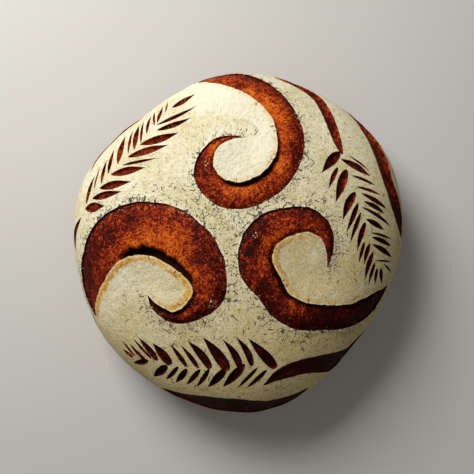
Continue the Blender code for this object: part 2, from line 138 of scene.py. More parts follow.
# Ears of wheat, each as two rows of leaf cuts: how far along its length a leaf is fullest, how far it
# bows to its left as a share of its length, how pointed it is at its foot and at its tip, and for each
# leaf the places (u, v) of its foot and its tip, its width and, where it differs, its bow
EARS = {
    "left_inner": {"fullest": 0.42, "bow": 0.0, "foot": 0.9, "tip": 1.2, "leaves": (
        (-106, 18, -90, 18, 6.5), (-99, 24.5, -77, 26.5, 5), (-93, 31, -71, 33, 5.5), (-85, 40, -63, 43, 6),
        (-78, 46.5, -56, 50, 2.5), (-75, 53, -50, 60, 6), (-68, 63, -43, 69, 6.5), (-57, 74, -34, 79, 4.5),
        (-58, 79.5, -30, 88, 3.5), (-48, 94, -32, 100, 5.5))},
    "left_outer": {"fullest": 0.45, "bow": 0.01, "foot": 0.9, "tip": 1.1, "leaves": (
        (-106, 22, -102, 41, 3.5), (-99, 32, -99, 47, 1.5), (-93, 35, -94, 52, 3), (-89, 42, -90, 61, 3),
        (-83, 49, -84, 72, 4.5), (-77, 57, -79, 77, 2), (-73, 60, -75, 82, 4), (-69, 65, -72, 86, 2),
        (-66, 73, -67, 91, 2.5), (-61, 80, -65, 95, 2), (-59, 82, -58, 98, 3), (-54, 92, -54, 101, 1.5))},
    "right_inner": {"fullest": 0.36, "bow": -0.03, "foot": 0.85, "tip": 1.3, "leaves": (
        (64, 51, 52, 37, 6), (62, 40, 56, 27, 3), (68, 39, 61, 19, 6), (74, 25, 67, 8, 5.5, -0.07),
        (76.5, 18, 70, 0, 3.5, 0.0), (79, 12, 73.5, -7, 3), (83, 6, 79.5, -12, 4),
        (84, -7, 81.5, -20, 2.6, 0.0), (88.5, -8, 86, -21, 3.6), (92, -14, 88, -32, 4),
        (95, -21, 92, -36, 3), (98, -25, 98, -36, 3), (102, -25, 106, -36, 3.5))},
    "right_outer": {"fullest": 0.48, "bow": 0.02, "foot": 0.8, "tip": 0.95, "leaves": (
        (72, 49, 84, 42, 1.5), (66, 46, 85, 38, 4.5), (73, 36, 89, 32, 2), (77, 29, 93, 26, 2),
        (80, 25, 100, 17.5, 3), (82, 20, 98, 14, 3), (81, 16, 105, 6, 2.3), (84.5, 8.5, 99, 3, 3.5),
        (90, 0, 107, -3, 1.8), (91, -3, 108, -8, 3.2), (92, -8, 111, -16, 3.5), (97, -19, 111, -20, 1.4),
        (105, -22, 116, -28, 1.6))},
    "front_inner": {"fullest": 0.34, "bow": -0.035, "foot": 0.5, "tip": 1.0, "leaves": (
        (23, -85, 7, -66, 6, -0.01), (8, -82, -1, -65, 4, -0.09), (1, -84, -9, -67, 4.5, -0.09),
        (-7, -85, -21, -67, 7), (-18, -85, -31, -70, 5.5, -0.055), (-26, -86, -36, -73, 3.2),
        (-34, -86, -43, -73, 3.2), (-45, -86, -55, -73, 6.5), (-54.5, -84, -65, -70, 4.6),
        (-59, -83, -69, -71, 2.3, 0.0), (-63, -87, -73, -75, 3, 0.0), (-72, -83, -79, -74, 2.3, 0.0),
        (-74, -85, -81, -81, 3.5, 0.0))},
    "front_outer": {"fullest": 0.42, "bow": 0.01, "foot": 0.6, "tip": 0.9, "leaves": (
        (17, -87, 6, -98, 3), (11, -85, 0, -98, 2.5), (3, -82, -9, -97, 5.5), (-8, -85, -19, -99, 4.8),
        (-19, -87, -27, -100, 3), (-25, -88, -34, -100, 3.3), (-34, -89, -42, -100, 4),
        (-40, -88, -49, -99, 3), (-48, -88, -59, -99, 5.5), (-62, -86, -74, -91, 4.5))},
}

# How far a cutter reaches out of the skin, the spacing of a spiral's stations where it is cut and where
# the finished surface is marked, and the spacing of its cutter's sections, all in mm
ABOVE_SKIN = 6.0
CUT_SPACING, MARK_SPACING, SECTION_SPACING = 0.3, 0.5, 2.0
DEEPEST = max(station[3] for stations in SPIRALS.values() for station in stations)
# Points across a spiral's floor, across a slash and round a leaf
FLOOR_STEPS, SLASH_STEPS, LEAF_SIDES = 30, 13, 28
# The loaf is made from a sphere, on which the belly and the base take up less than their true lengths
BELLY_SHARE, BASE_SHARE = 0.6, 0.3
# Points that are looked up at once
BATCH = 20000
# Edges that turn by less than this, in degrees, are shaded smooth
SMOOTH_ANGLE = 38

# The studio, in metres, watts and degrees: name, place, size, power and tint of each light
LIGHTS = (
    ("window", (-0.38, 0.50, 0.66), 0.45, 9.9, (1.0, 0.985, 0.95)),
    ("fill", (0.3, -0.9, 1.4), 1.6, 3.2, (1.0, 0.94, 0.84)),
)
LIGHT_TARGET = (0.0, 0.0, 0.05)
SKY_TINT, SKY_STRENGTH = (1.0, 0.98, 0.95, 1.0), 0.10
FLOOR_SIZE = 3.0
CAMERA_DISTANCE, CAMERA_TILT = 0.500, 5.0
CAMERA_TARGET = (-0.001, 0.0041, 0.0)
CAMERA_LENS, CAMERA_SENSOR, CAMERA_CLIP = 49.86, 36.0, 0.01


def size(name, description, default, **limits):
    return FloatProperty(name=name, description=description, default=default, **limits)


def colour(name, description, default):
    return FloatVectorProperty(name=name, description=description, default=default, size=3, subtype="COLOR",
                               min=0.0, max=1.0)


class LoafShape(bpy.types.PropertyGroup):
    """Sizes of the loaf, in millimetres unless they say otherwise."""

    radius: size("Radius", "Half the loaf's width", 115.0, min=60, max=200)
    height: size("Height", "Height of the crown", 94.0, min=40, max=180)
    widest_at: size("Widest at", "Height of the widest place", 36.0)
    base_radius: size("Base", "Radius of the flat base", 86.0)
    crown_power: size("Crown fullness", "Roundness of the crown", 2.2)
    belly_turn: size("Belly turn", "How far the belly curls under, in degrees", 50.0)


class CutShape(bpy.types.PropertyGroup):
    """Sizes of the baker's cuts, in millimetres."""

    lip_lift: size("Lip lift", "How far a flap rises at its lip", 3.6)
    lip_thickness: size("Lip thickness", "Thickness of a flap at its lip", 1.8)
    lip_undercut: size("Undercut", "How far a cut runs under its lip", 3.0)
    lip_fade: size("Lip fade", "Width of the raised band along a lip", 24.0)
    crevice_width: size("Crevice width", "Width of the widest gap at a lip", 4.4)
    bloom_sink: size("Floor depth", "Depth of a cut's floor", 0.5)
    bloom_bulge: size("Floor bulge", "How far a cut's floor swells up", 1.4)
    edge_drop: size("Edge drop", "Step at a cut's far edge", 1.0)
    slash_depth: size("Slash depth", "Depth of a plain slash", 2.6)
    leaf_depth: size("Leaf depth", "Depth of a leaf cut", 2.3)


class CrustColours(bpy.types.PropertyGroup):
    """Colours of the crust, as linear values."""

    flour: colour("Flour", "Thick flour on the crust", (0.93, 0.88, 0.67))
    thin_flour: colour("Thin flour", "Crust that shows through thin flour", (0.72, 0.58, 0.26))
    gold: colour("Toasted lip", "Golden edge of a lifted flap", (0.80, 0.43, 0.045))
    glow: colour("Palest bloom", "Brightest strands of a browned floor", (0.62, 0.17, 0.018))
    amber: colour("Amber bloom", "Palest browned floor, near a lip", (0.46, 0.075, 0.006))
    brown: colour("Brown bloom", "Browned floor of a cut", (0.27, 0.024, 0.006))
    dark: colour("Dark bloom", "Darkest browned floor", (0.075, 0.005, 0.003))
    # Char is also laid as painted shade in the deepest parts of the cuts and the crevices under the lips
    char: colour("Char", "Burnt depths of a cut", (0.010, 0.002, 0.001))
    crack: colour("Cracks", "Fine cracks through the flour", (0.045, 0.028, 0.010))
    belly: colour("Bare crust", "Crust of the belly where the flour thins out", (0.36, 0.16, 0.045))
    floor: colour("Floor", "The plain floor of the studio", (0.52, 0.51, 0.49))


def settings():
    scene = bpy.context.scene
    return scene.loaf_shape, scene.loaf_cuts, scene.loaf_colours


def smoothstep(low, high, value):
    t = np.clip((value - low) / (high - low), 0.0, 1.0)
    return t * t * (3.0 - 2.0 * t)


class Skin:
    """The loaf's skin as a smooth dome, with its unrolled places (u, v) in mm."""

    STEPS = 400

    def __init__(self, shape):
        self.radius = shape.radius
        up_over_rim = np.linspace(0.0, math.pi / 2, self.STEPS)
        crown = np.stack([
            shape.radius * np.sin(up_over_rim) ** (2 / shape.crown_power),
            shape.widest_at
            + (shape.height - shape.widest_at) * np.cos(up_over_rim).clip(0) ** (2 / shape.crown_power),
        ], 1)
        full = math.radians(shape.belly_turn)
        under = np.linspace(0.0, full, self.STEPS // 2)[1:]
        belly = np.stack([
            shape.radius - (shape.radius - shape.base_radius) * (1 - np.cos(under)) / (1 - math.cos(full)),
            shape.widest_at * (1.0 - np.sin(under) / math.sin(full)),
        ], 1)
        self.curve = np.concatenate([crown, belly])
        steps = np.hypot(*np.diff(self.curve, axis=0).T)
        self.arc = np.concatenate([[0.0], np.cumsum(steps)])
        self.rim_arc = self.arc[self.STEPS - 1]
        self.base_radius = shape.base_radius

    def outline(self, direction):
        waves = sum(height * np.cos(count * (direction - math.radians(crest)))
                    for count, height, crest in OUTLINE_WAVES)
        return 1.0 + waves / self.radius

    def point(self, places):
        u, v = places[..., 0], places[..., 1]
        direction, along = np.arctan2(v, u), np.hypot(u, v)
        out = np.interp(along, self.arc, self.curve[:, 0]) * self.outline(direction)
        up = np.interp(along, self.arc, self.curve[:, 1])
        return np.stack([out * np.cos(direction), out * np.sin(direction), up], -1)

    def raised(self, places, height):
        """Points in space, in mm, this far out from the skin at these places."""
        step = 0.5
        along_u = self.point(places + [step, 0.0]) - self.point(places - [step, 0.0])
        along_v = self.point(places + [0.0, step]) - self.point(places - [0.0, step])
        normal = np.cross(along_u, along_v)
        normal /= np.linalg.norm(normal, axis=-1, keepdims=True)
        return self.point(places) + normal * np.asarray(height)[..., None]

    def unrolled(self, points):
        """The place (u, v) of each point in space and its height over the skin."""
        direction = np.arctan2(points[:, 1], points[:, 0])
        out = np.hypot(points[:, 0], points[:, 1]) / self.outline(direction)
        found = np.empty((len(points), 3))
        curve, arc = self.curve[::2], self.arc[::2]
        ways = np.gradient(curve, axis=0)
        for first in range(0, len(points), BATCH):
            part = slice(first, first + BATCH)
            apart = np.stack([out[part], points[part, 2]], 1)[:, None] - curve[None]
            near = np.argmin((apart ** 2).sum(-1), 1)
            gap, way = apart[np.arange(len(near)), near], ways[near]
            way = way / np.linalg.norm(way, axis=1, keepdims=True)
            along = arc[near] + (gap * way).sum(1)
            found[part, 0] = along * np.cos(direction[part])
            found[part, 1] = along * np.sin(direction[part])
            found[part, 2] = gap[:, 1] * way[:, 0] - gap[:, 0] * way[:, 1]
        return found


def through(stations, count):
    """This many stations on a smooth curve through the given ones."""
    given = np.asarray(stations, float)
    last = len(given) - 1
    place = np.linspace(0.0, last, count)
    k = np.minimum(place.astype(int), last - 1)
    t = (place - k)[:, None]
    a, b, c, d = (given[np.clip(k + shift, 0, last)] for shift in (-1, 0, 1, 2))
    terms = 2 * b, (c - a) * t, (2 * a - 5 * b + 4 * c - d) * t ** 2, (3 * b - a - 3 * c + d) * t ** 3
    return 0.5 * sum(terms)


def evenly(stations, spacing):
    """Stations on a smooth curve through the given ones, this far apart along it."""
    fine = through(stations, 40 * len(stations))
    along = np.concatenate([[0.0], np.cumsum(np.hypot(*np.diff(fine[:, :2], axis=0).T))])
    places = np.linspace(0.0, along[-1], int(along[-1] / spacing) + 2)
    return np.stack([np.interp(places, along, column) for column in fine.T], 1), places


def normals_along(path, side):
    """Unit normals of a path on the unrolled skin. Side 1 is to the right of the way along it."""
    way = np.gradient(path[:, :2], axis=0)
    way /= np.hypot(way[:, 0], way[:, 1])[:, None]
    return np.stack([side * way[:, 1], -side * way[:, 0]], 1)


def ripple(x, y, z, octaves=1):
    """Smooth noise from about -1 to 1 at each of these places."""
    found = np.zeros(len(x))
    for i, place in enumerate(zip(x, y, z)):
        size, total = 1.0, 0.0
        for octave in range(octaves):
            total += size * noise.noise(Vector(place) * 2 ** octave)
            size *= 0.5
        found[i] = total
    return found


def wobble(along, length, seed, octaves=1):
    """Smooth noise along a line, with waves of about this length."""
    flat = np.zeros(len(along))
    return ripple(along / length, flat, flat + seed, octaves)


def lip_strength(opening):
    """How fully a cut has opened, from 0 at its closed ends to 1."""
    return np.minimum(opening / 12.0, 1.0) ** 0.7


class SpiralCut:
    """One spiral cut in close stations: its lip, the way out across it, the opening and the crevice."""

    def __init__(self, name, spacing):
        self.name = name
        path, self.along = evenly(SPIRALS[name], spacing)
        self.lip = path[:, :2]
        self.outward = normals_along(path, -1)
        self.opening = path[:, 2].clip(0)
        self.crevice = path[:, 3].clip(0)
        self.strength = lip_strength(self.opening)
        self.rise = self.strength * smoothstep(5.0, 55.0, self.along)
        steps = np.linspace(0.0, self.along[-1], len(FLOOR_BROWNING_AND_SHADE[name]))
        self.browning_and_shade = np.interp(self.along, steps, FLOOR_BROWNING_AND_SHADE[name])
        self.gold = np.interp(self.along, steps, LIP_GOLD[name])

    def near(self, places):
        """For each place the nearest station and the distance from the lip, positive on the open side."""
        stations, apart = np.empty(len(places), int), np.empty(len(places))
        for first in range(0, len(places), BATCH):
            part = slice(first, first + BATCH)
            gap = places[part, None] - self.lip[None]
            far = (gap ** 2).sum(-1)
            k = np.argmin(far, 1)
            rows = np.arange(len(k))
            side = (gap[rows, k] * self.outward[k]).sum(-1)
            stations[part] = k
            apart[part] = np.sqrt(far[rows, k]) * np.where(side > 0, 1.0, -1.0)
        return stations, apart


def lifted(places, spirals, cuts):
    """How far the skin rises at each place because a flap lifts along a lip near there."""
    lift = np.zeros(len(places))
    for spiral in spirals:
        station, apart = spiral.near(places)
        opening = spiral.opening[station]
        strength = cuts.lip_lift * spiral.rise[station]
        outside = 1.0 - smoothstep(0.45 * opening, opening + 0.1, apart)
        inside = np.maximum(1.0 + apart / cuts.lip_fade, 0.0) ** 2
        lift = np.maximum(lift, strength * np.where(apart > 0, outside, inside))
    return lift


class LiftMap:
    """The flaps' lift on an even grid over the unrolled skin, softened so that a flap has no crease."""

    SPACING, REACH, SOFTNESS = 2.0, 180.0, 3.5

    def __init__(self, spirals, cuts):
        axis = np.arange(-self.REACH, self.REACH + 1, self.SPACING)
        u, v = np.meshgrid(axis, axis, indexing="ij")
        lift = lifted(np.stack([u.ravel(), v.ravel()], 1), spirals, cuts).reshape(u.shape)
        offsets = np.arange(-10.0, 11.0, self.SPACING)
        weights = np.exp(-0.5 * (offsets / self.SOFTNESS) ** 2)
        for _ in range(2):
            lift = np.apply_along_axis(np.convolve, 0, lift, weights / weights.sum(), "same").T
        self.lift = lift

    def at(self, places):
        grid = ((places + self.REACH) / self.SPACING).clip(0, len(self.lift) - 1.001)
        (i, j), (s, t) = grid.astype(int).T, (grid % 1.0).T
        near = self.lift[i, j] * (1 - t) + self.lift[i, j + 1] * t
        far = self.lift[i + 1, j] * (1 - t) + self.lift[i + 1, j + 1] * t
        return near * (1 - s) + far * s


def crust_relief(places):
    """Gentle unevenness of the floured crust, in mm."""
    u, v = places.T
    flat = np.zeros(len(u))
    return 0.55 * ripple(u / 21, v / 21, flat + 3.1) + 0.16 * ripple(u / 5.5, v / 5.5, flat + 7.7, 2)


def bloom_relief(places):
    """Blistered unevenness of a cut's browned floor, in mm."""
    u, v = places.T
    flat = np.zeros(len(u))
    return 0.30 * ripple(u / 6.0, v / 6.0, flat + 1.3) + 0.24 * ripple(u / 2.3, v / 2.3, flat + 5.9, 2)


def new_object(name, bm, material=None):
    mesh = bpy.data.meshes.new(name)
    bm.to_mesh(mesh)
    bm.free()
    if material:
        mesh.materials.append(material)
    obj = bpy.data.objects.new(name, mesh)
    bpy.context.scene.collection.objects.link(obj)
    return obj


def loft(sections):
    """A closed shape through equal rings of points, each ring extruded from the one before it."""
    sections = [[Vector(place) * MM for place in section] for section in sections]
    bm = bmesh.new()
    ring = bmesh.ops.create_circle(bm, cap_ends=True, segments=len(sections[0]), radius=1.0)["verts"]
    for vert, place in zip(ring, sections[0]):
        vert.co = place
    edges = [edge for edge in bm.edges if len(edge.link_faces) == 1]
    for section in sections[1:]:
        made = bmesh.ops.extrude_edge_only(bm, edges=edges)["geom"]
        edges = [item for item in made if isinstance(item, bmesh.types.BMEdge)]
        fresh = {item for item in made if isinstance(item, bmesh.types.BMVert)}
        ring = [next(edge.other_vert(vert) for edge in vert.link_edges if edge.other_vert(vert) in fresh)
                for vert in ring]
        for vert, place in zip(ring, section):
            vert.co = place
    bmesh.ops.contextual_create(bm, geom=edges)
    bmesh.ops.recalc_face_normals(bm, faces=bm.faces)
    return bm


def spiral_cutter(skin, name, cuts, material):
    """The opening of a spiral cut: a crevice under the lip, then a broad floor up to the far edge."""
    spiral = SpiralCut(name, CUT_SPACING)
    far_edge = spiral.lip + spiral.outward * spiral.opening[:, None]
    moved = sum(np.hypot(*np.diff(edge, axis=0).T) for edge in (spiral.lip, far_edge))
    moved = np.concatenate([[0.0], np.cumsum(moved)])
    chosen = np.unique(np.searchsorted(moved, np.arange(1.0, moved[-1] - 1.0, SECTION_SPACING)))
    # The floor's points, as shares of the opening, lie closest together at its two edges
    steps = np.linspace(0.0, 1.0, FLOOR_STEPS)[:-1]
    shares = 1.0 - 0.45 * steps - 0.275 * (1.0 - np.cos(math.pi * steps))
    tear = 0.55 * wobble(spiral.along, 2.2, 2.0) + 0.45 * wobble(spiral.along, 6.0, 4.0)
    wander = 0.5 * wobble(spiral.along, 4.0, 9.0, 2)
    ragged = 1.0 + 0.5 * wobble(spiral.along, 5.0, 6.0, 3)
    sections = []
    for k in chosen:
        opening, crevice = max(spiral.opening[k], 0.4), spiral.crevice[k]
        strength, rise = float(lip_strength(opening)), float(spiral.rise[k])
        lift, thick, under = cuts.lip_lift * rise, cuts.lip_thickness * rise, cuts.lip_undercut * rise
        lip = tear[k] * strength
        far = opening + wander[k] * strength
        out = far * shares
        across = np.concatenate([[-under, -0.5 * under, lip, lip, lip, far], out])
        places = spiral.lip[k] + spiral.outward[k] * across[:, None]

        edge = np.exp(-((far - out) / 3.0) ** 2)
        reach = cuts.crevice_width * (0.3 + 0.8 * crevice / DEEPEST) * ragged[k]
        gap = np.exp(-(out / reach) ** 4)
        bulge = cuts.bloom_bulge * np.sin(math.pi * shares) * rise
        floor = bulge - (cuts.bloom_sink + cuts.edge_drop * edge) * strength - crevice * gap
        on_floor = places[-len(out):]
        floor = floor + (crust_relief(on_floor) + bloom_relief(on_floor) * (1 - 0.8 * edge)) * strength
        depth = -cuts.bloom_sink * strength - crevice
        lip_heights = [depth, max(lift - 1.6 * thick, depth + 0.1), max(lift - thick, depth + 0.2),
                       max(lift - 0.4, depth + 0.3)]
        height = np.concatenate([lip_heights, [ABOVE_SKIN, ABOVE_SKIN], floor])
        sections.append(skin.raised(places, height))
    return new_object(f"cut_{name}", loft(sections), material)


def slash_cutter(skin, name, cuts, material):
    """A plain slash with a rounded floor."""
    path, along = evenly(SLASHES[name], 1.0)
    widest = path[:, 2].max()
    outward = normals_along(path, 1)
    wander = 0.35 * wobble(along, 3.0, len(name), 2)
    steps = np.linspace(0.0, 1.0, SLASH_STEPS)
    sections = []
    for k in range(1, len(path) - 1):
        half = max(path[k, 2], 0.5) / 2
        strength = min(2 * half / widest, 1.0) ** 0.6
        left, right = -half - wander[k] * strength, half + wander[-k] * strength
        out = right + (left - right) * steps
        depth = -cuts.slash_depth * strength * np.sin(math.pi * steps.clip(0.04, 0.96)) ** 0.6
        places = path[k, :2] + outward[k] * np.concatenate([[left, right], out])[:, None]
        depth = depth + 0.6 * bloom_relief(places[2:]) * np.sin(math.pi * steps) * strength
        sections.append(skin.raised(places, np.concatenate([[ABOVE_SKIN, ABOVE_SKIN], depth])))
    return new_object(f"cut_{name}", loft(sections), material)


def leaf_cutter(skin, name, leaf, row, cuts, material):
    """A leaf-shaped cut with a full middle and a drawn-out tip."""
    foot, tip, width = np.array(leaf[:2], float), np.array(leaf[2:4], float), leaf[4]
    length = float(np.hypot(*(tip - foot)))
    way = (tip - foot) / length
    side = np.array([-way[1], way[0]])
    angle = np.linspace(0.0, 2 * math.pi, LEAF_SIDES, endpoint=False)
    along = (0.5 - 0.5 * np.cos(angle)).clip(1e-6, 1 - 1e-6)
    swelling = math.log(0.5) / math.log(row["fullest"])
    pointed = row["foot"] + (row["tip"] - row["foot"]) * along
    fullness = np.sin(math.pi * along ** swelling) ** pointed
    across = 0.54 * width * fullness * np.sign(np.sin(angle).round(6))
    bow = leaf[5] if len(leaf) > 5 else row["bow"] + 0.01 * math.sin(17.0 * length + foot[0])
    bow = bow * length * np.sin(math.pi * along)
    deep = cuts.leaf_depth * min(width / 4.0, 1.0) ** 0.5
    reach = 1.08 + (1.2 + 0.8 * max(3.0 - width, 0.0)) / length

    def ring(height, narrowing):
        middle = row["fullest"] * length
        inset = middle + (along * length - middle) * (1 - (1 - narrowing) * 0.3) * reach
        places = foot + way * inset[:, None] + side * (bow + across * narrowing)[:, None]
        return skin.raised(places, np.full(len(places), height))

    rings = [ring(-deep, 0.3), ring(-0.95 * deep, 0.72), ring(-0.6 * deep, 0.94), ring(0.0, 1.0),
             ring(ABOVE_SKIN, 1.0)]
    return new_object(name, loft(rings), material)


def row_cutters(skin, name, cuts, material):
    """The leaf cuts of one row of an ear of wheat."""
    return [leaf_cutter(skin, f"cut_{name}_{i}", leaf, EARS[name], cuts, material)
            for i, leaf in enumerate(EARS[name]["leaves"])]


def place_on_solid(skin, directions, lift_map):
    """Where the points of the unit sphere lie on the skin or on the flat base."""
    polar = np.arccos(directions[:, 2].clip(-1, 1))
    azimuth = np.arctan2(directions[:, 1], directions[:, 0])
    crown, belly = skin.rim_arc, (skin.arc[-1] - skin.rim_arc) * BELLY_SHARE
    base = skin.base_radius * BASE_SHARE
    along = polar / math.pi * (crown + belly + base)
    arc = np.where(along < crown, along, skin.rim_arc + (along - crown) / BELLY_SHARE).clip(0, skin.arc[-1])
    places = np.stack([arc * np.cos(azimuth), arc * np.sin(azimuth)], 1)
    fade = 1.0 - smoothstep(skin.arc[-1] - 25, skin.arc[-1] - 4, arc)
    points = skin.raised(places, crust_relief(places) * fade + lift_map.at(places))
    under = along > crown + belly
    out = skin.base_radius * (1.0 - (along - crown - belly) / base).clip(0, 1) * skin.outline(azimuth)
    flat = np.stack([out * np.cos(azimuth), out * np.sin(azimuth), np.zeros(len(out))], 1)
    points[under] = flat[under]
    points[:, 2] = points[:, 2].clip(0.0)
    return points


def spots(places, patches):
    """The sum at each place of round, soft-edged patches (u, v, radius, amount)."""
    return sum(amount * np.exp(-((places - [u, v]) ** 2).sum(1) / radius ** 2)
               for u, v, radius, amount in patches)


def set_attribute(mesh, name, values):
    kind = "FLOAT_VECTOR" if values.ndim == 2 else "FLOAT"
    attribute = mesh.attributes.new(name, kind, "POINT")
    part = "vector" if kind == "FLOAT_VECTOR" else "value"
    attribute.data.foreach_set(part, values.astype(np.float32).ravel())


def mark_surface(mesh, skin, spirals):
    """Stores where each point lies: on the unrolled skin, along and across the nearest spiral cut."""
    points = np.empty(len(mesh.vertices) * 3, np.float32)
    mesh.vertices.foreach_get("co", points)
    unrolled = skin.unrolled(points.reshape(-1, 3).astype(float) / MM)
    places = unrolled[:, :2]
    best = np.full(len(places), 1e9)
    beside = np.zeros((len(places), 3))
    gold, browning_and_shade = np.zeros(len(places)), np.zeros(len(places))
    for spiral in spirals:
        station, apart = spiral.near(places)
        opening = spiral.opening[station]
        outside = np.where(apart > 0, (apart - opening).clip(0), -apart)
        nearer = outside < best
        best = np.where(nearer, outside, best)
        share = np.where(apart > 0, apart / np.maximum(opening, 0.5), 0.0)
        beside[nearer] = np.stack([spiral.along[station], apart, share], 1)[nearer]
        strong = lip_strength(opening)
        gold = np.where(nearer, spiral.gold[station] * strong * (apart < 0.6), gold)
        browning_and_shade = np.where(nearer, spiral.browning_and_shade[station], browning_and_shade)
    for name, values in (("unrolled", unrolled), ("beside", beside), ("outside", best), ("gold", gold),
                         ("browning_and_shade", browning_and_shade), ("baked", spots(places, BAKED)),
                         ("glints", spots(places, [(*spot, 1.0) for spot in GLINTS]))):
        set_attribute(mesh, name, values)


class Nodes:
    """Short calls for building a material's nodes."""

    def __init__(self, name):
        self.material = bpy.data.materials.new(name)
        self.material.use_nodes = True
        self.tree = self.material.node_tree
        self.shader = self.tree.nodes["Principled BSDF"]

    def add(self, kind, **values):
        node = self.tree.nodes.new(kind)
        for key, value in values.items():
            setattr(node, key, value)
        return node

    def link(self, source, target):
        self.tree.links.new(source, target)

    def feed(self, socket, value):
        if isinstance(value, bpy.types.NodeSocket):
            self.link(value, socket)
        else:
            socket.default_value = value

    def attribute(self, name, part="Fac"):
        return self.add("ShaderNodeAttribute", attribute_name=name).outputs[part]

    def math(self, operation, *values, clamp=False):
        node = self.add("ShaderNodeMath", operation=operation, use_clamp=clamp)
        for socket, value in zip(node.inputs, values):
            self.feed(socket, value)
        return node.outputs[0]

    def chain(self, operation, values, clamp=False):
        found, *others = values
        for value in others:
            found = self.math(operation, found, value, clamp=clamp)
        return found

    def total(self, *values):
        return self.chain("ADD", values)

    def product(self, *values, clamp=False):
        return self.chain("MULTIPLY", values, clamp)

    def largest(self, *values):
        return self.chain("MAXIMUM", values)

    def swing(self, value, middle, amount):
        """How far a value is from this middle, times an amount."""
        return self.product(self.math("SUBTRACT", value, middle), amount)

    def between(self, share, first, second):
        return self.total(first, self.product(share, self.math("SUBTRACT", second, first)))

    def vector(self, operation, *values, out=0):
        node = self.add("ShaderNodeVectorMath", operation=operation)
        sockets = [socket for socket in node.inputs if socket.name != "Scale"]
        for socket, value in zip(sockets, values):
            self.feed(socket, value)
        return node.outputs[out]

    def scaled(self, vector, scale):
        return self.vector("MULTIPLY", vector, (scale,) * 3)

    def length(self, vector):
        return self.vector("LENGTH", vector, out=1)

    def parts(self, vector):
        node = self.add("ShaderNodeSeparateXYZ")
        self.link(vector, node.inputs[0])
        return node.outputs

    def joined(self, x, y):
        node = self.add("ShaderNodeCombineXYZ")
        self.feed(node.inputs[0], x)
        self.feed(node.inputs[1], y)
        return node.outputs[0]

    def noise(self, vector, scale, detail=2.0, roughness=0.5, distortion=0.0, out="Fac"):
        node = self.add("ShaderNodeTexNoise")
        self.link(vector, node.inputs["Vector"])
        for key, value in (("Scale", scale), ("Detail", detail), ("Roughness", roughness),
                           ("Distortion", distortion)):
            node.inputs[key].default_value = value
        return node.outputs[out]

    def voronoi(self, vector, scale, feature="F1", dimensions="2D"):
        node = self.add("ShaderNodeTexVoronoi", feature=feature, voronoi_dimensions=dimensions)
        self.link(vector, node.inputs["Vector"])
        node.inputs["Scale"].default_value = scale
        return node.outputs

    def step(self, value, low, high, to_low=0.0, to_high=1.0):
        node = self.add("ShaderNodeMapRange", interpolation_type="SMOOTHSTEP")
        for key, item in (("Value", value), ("From Min", low), ("From Max", high), ("To Min", to_low),
                          ("To Max", to_high)):
            self.feed(node.inputs[key], item)
        return node.outputs[0]

    def mix(self, amount, first, second):
        node = self.add("ShaderNodeMix", data_type="RGBA")
        self.feed(node.inputs["Factor"], amount)
        for socket, value in ((node.inputs[6], first), (node.inputs[7], second)):
            self.feed(socket, value if isinstance(value, bpy.types.NodeSocket) else (*value, 1.0))
        return node.outputs[2]

    def bump(self, height, distance, strength, normal=None):
        node = self.add("ShaderNodeBump")
        node.inputs["Strength"].default_value = strength
        node.inputs["Distance"].default_value = distance
        self.link(height, node.inputs["Height"])
        if normal:
            self.link(normal, node.inputs["Normal"])
        return node.outputs[0]

    def finished(self, **sockets):
        """The material, with these values on its shader, an underscore standing for each space."""
        for key, value in sockets.items():
            self.feed(self.shader.inputs[key.replace("_", " ")], value)
        return self.material


class Surface:
    """What the mesh stores about each place: where it lies on the skin and beside the nearest spiral."""

    def __init__(self, n):
        self.n = n
        u, v, self.height = n.parts(n.attribute("unrolled", "Vector"))
        self.flat = n.joined(u, v)
        self.along, self.apart, self.share = n.parts(n.attribute("beside", "Vector"))
        self.outside = n.attribute("outside")
        # Painted shade: 0 on the side facing the window light, 1 on the side away from it
        self.shaded_side = n.step(n.vector("DOT_PRODUCT", self.flat, SHADED_SIDE, out=1), -75.0, 115.0)

    def stretched(self, along, apart):
        """Places along and across the nearest spiral, with a scale for each way."""
        return self.n.joined(self.n.product(self.along, along), self.n.product(self.apart, apart))


def strokes(n, flat, scale, length, thickness, chosen):
    """Short strokes in all directions, from 0 to 1, one in each cell of a chosen share of the cells."""
    cells = n.voronoi(flat, scale)
    chance = n.parts(cells["Color"])
    turn = n.add("ShaderNodeVectorRotate", rotation_type="Z_AXIS")
    n.link(n.vector("SUBTRACT", n.scaled(flat, scale), n.scaled(cells["Position"], scale)),
           turn.inputs["Vector"])
    n.feed(turn.inputs["Angle"], n.product(chance[0], 2 * math.pi))
    x, y, _ = n.parts(turn.outputs[0])
    wiggle = n.swing(n.noise(flat, 0.8, 2.0), 0.5, 0.25)
    thin = n.step(n.math("ABSOLUTE", n.total(y, wiggle)), thickness, 0.4 * thickness)
    reach = n.product(n.total(chance[1], 0.35), length)
    short = n.step(n.math("ABSOLUTE", x), reach, n.product(reach, 0.6))
    return n.product(thin, short, n.step(n.total(chance[2], chosen), 0.99, 1.0))


def flour_wear(n, at, mottle, open_side, on_flap):
    """How worn the flour is, from 0 to 1: most beside the cuts, at the centre and, as painted shade, away
    from the light.
    """
    centre = n.step(n.length(n.vector("SUBTRACT", at.flat, (0.0, 5.0, 0.0))), 75.0, 15.0)
    worn = n.product(n.largest(n.step(at.outside, 14.0, 1.0), centre), open_side)
    # Painted shade: more cracks and specks on the side away from the window light
    worn = n.total(n.product(worn, 0.55), n.product(at.shaded_side, 0.30), n.swing(mottle, 0.45, 0.7))
    return n.math("SUBTRACT", worn, n.product(on_flap, 0.25), clamp=True)


